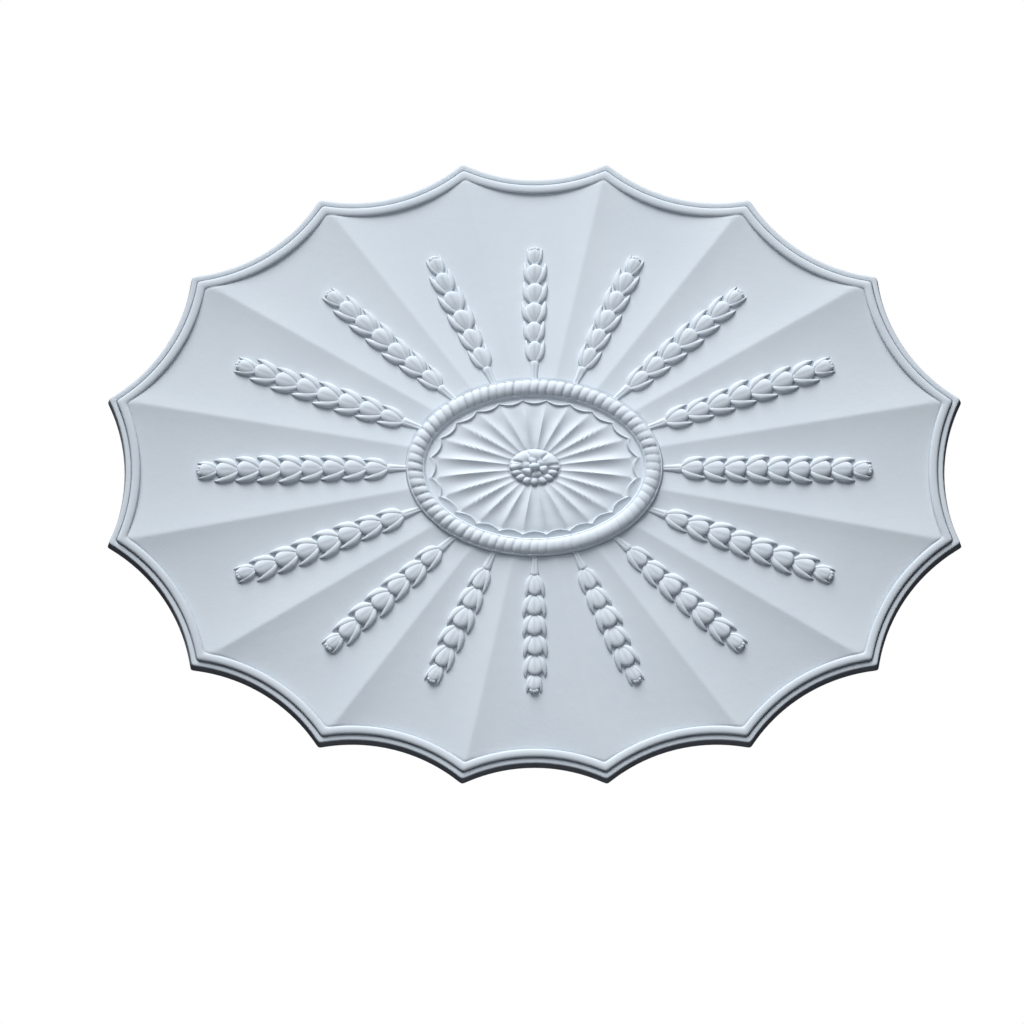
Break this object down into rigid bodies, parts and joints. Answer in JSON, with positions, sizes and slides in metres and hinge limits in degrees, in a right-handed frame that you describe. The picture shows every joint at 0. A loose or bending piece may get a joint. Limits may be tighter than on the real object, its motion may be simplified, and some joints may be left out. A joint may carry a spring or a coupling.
{
  "type": "ceiling rose",
  "caption": "Large oval ceiling rose of cast plaster, with a scalloped edge, hollowed bays, drops of husks, a beaded ring and a fluted medallion.",
  "frame": {"origin": "centre of the flat back, which is fixed to the ceiling", "axes": "+Z out of the ornamented face, +X along the oval's long axis, +Y along its short axis"},
  "size_m": [1.22, 0.915, 0.05],
  "materials": {
    "plaster": "matt, dry cast plaster, cool off-white"
  },
  "bodies": {
    "root": {"ceiling_rose": "plaster"}
  },
  "joints": []
}
